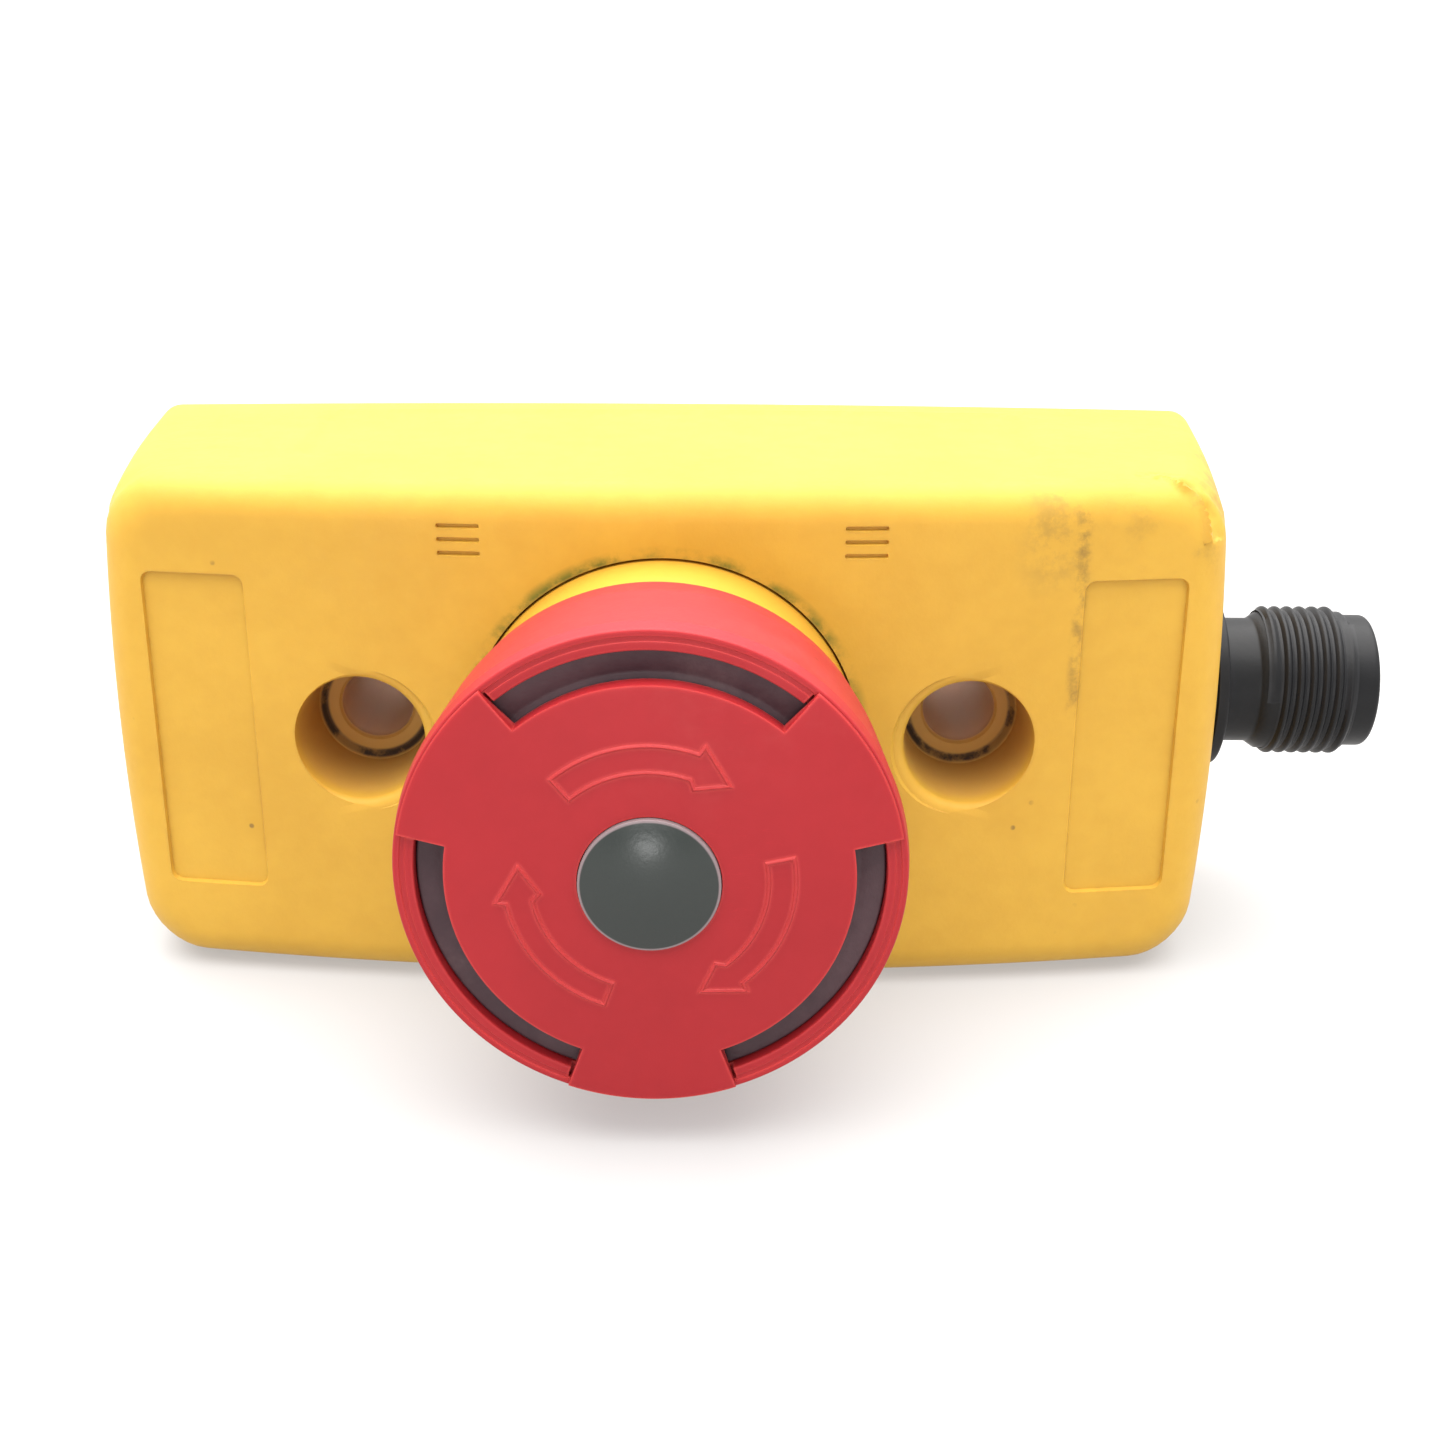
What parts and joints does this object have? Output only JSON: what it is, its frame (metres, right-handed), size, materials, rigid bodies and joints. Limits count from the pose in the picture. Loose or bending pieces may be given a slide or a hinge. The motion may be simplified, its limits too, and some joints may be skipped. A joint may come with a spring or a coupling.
{
  "type": "emergency stop button",
  "caption": "Yellow surface-mount emergency stop: red latching push button with turn release, lit lens, through-bolt housing and threaded round plug inlet.",
  "frame": {"origin": "centre of the flat mounting face at the back of the housing", "axes": "+X along the housing towards the plug inlet, +Z across the housing, -Y out of the front towards the button; +Y points into the surface it is bolted to"},
  "size_m": [0.099, 0.0508, 0.0396],
  "materials": {
    "housing_yellow": "fine matte grain, moulded yellow",
    "collar_yellow": "smooth satin yellow",
    "black_rubber": "matte",
    "cast_fill": "dull amber cast resin",
    "button_red": "satin red",
    "dark_smoke": "dark smoked plastic",
    "lens_smoke": "grey-green satin lens",
    "clear_plastic": "clear",
    "white_nylon": "natural nylon",
    "spring_steel": "bright",
    "black_nylon": "matte black",
    "contact_brass": "bright",
    "latch_steel": "ground",
    "board_green": "green solder resist",
    "lamp_white": "milky",
    "chip_black": "black ceramic chip",
    "inlet_black": "satin black",
    "nickel_brass": "nickel plated",
    "gold_contact": "gold plated",
    "lead_grey": "matte"
  },
  "bodies": {
    "base": {"housing": "housing_yellow", "collar": "collar_yellow", "collar_seal": "black_rubber", "stem_seal": "black_rubber", "back_fill": "cast_fill", "twist_spring": "spring_steel", "return_spring": "spring_steel", "fixed_contacts": "contact_brass", "contact_block": "black_nylon", "latch_plates": "latch_steel", "circuit_board": "board_green", "lamp": "lamp_white", "board_resistors": "chip_black", "inlet_shell": "inlet_black", "inlet_nut": "nickel_brass", "inlet_seal": "black_rubber", "inlet_insert": "inlet_black", "inlet_contacts": "gold_contact", "leads": "lead_grey"},
    "slider": {"contact_carrier": "black_nylon", "contact_bridges": "contact_brass", "contact_springs": "spring_steel"},
    "button": {"cap_skirt": "button_red", "cap_face": "button_red", "slot_ring": "dark_smoke", "lens": "lens_smoke", "light_guide": "clear_plastic", "stem": "white_nylon", "stem_clip": "spring_steel"},
    "pin_left": {"latch_pin_left": "latch_steel"},
    "pin_right": {"latch_pin_right": "latch_steel"}
  },
  "joints": [
    {"name": "press", "type": "slide", "parent": "base", "child": "slider", "axis": [0, 1, 0], "range_m": [0, 0.004], "stiffness_N_per_m": 3000, "springref_m": -0.003, "deforming": ["return_spring"]},
    {"name": "turn_release", "type": "hinge", "parent": "slider", "child": "button", "pos_m": [0, 0, 0], "axis": [0, 1, 0], "range_deg": [0, 35], "stiffness_Nm_per_rad": 0.05, "deforming": ["twist_spring"]},
    {"name": "left_pin_slide", "type": "slide", "parent": "slider", "child": "pin_left", "axis": [-1, 0, 0], "range_m": [0, 0.0008]},
    {"name": "right_pin_slide", "type": "slide", "parent": "slider", "child": "pin_right", "axis": [1, 0, 0], "range_m": [0, 0.0008]}
  ],
  "couplings": [
    {"joint": "left_pin_slide", "follows": "press", "ratio": 0.2},
    {"joint": "right_pin_slide", "follows": "press", "ratio": 0.2}
  ]
}
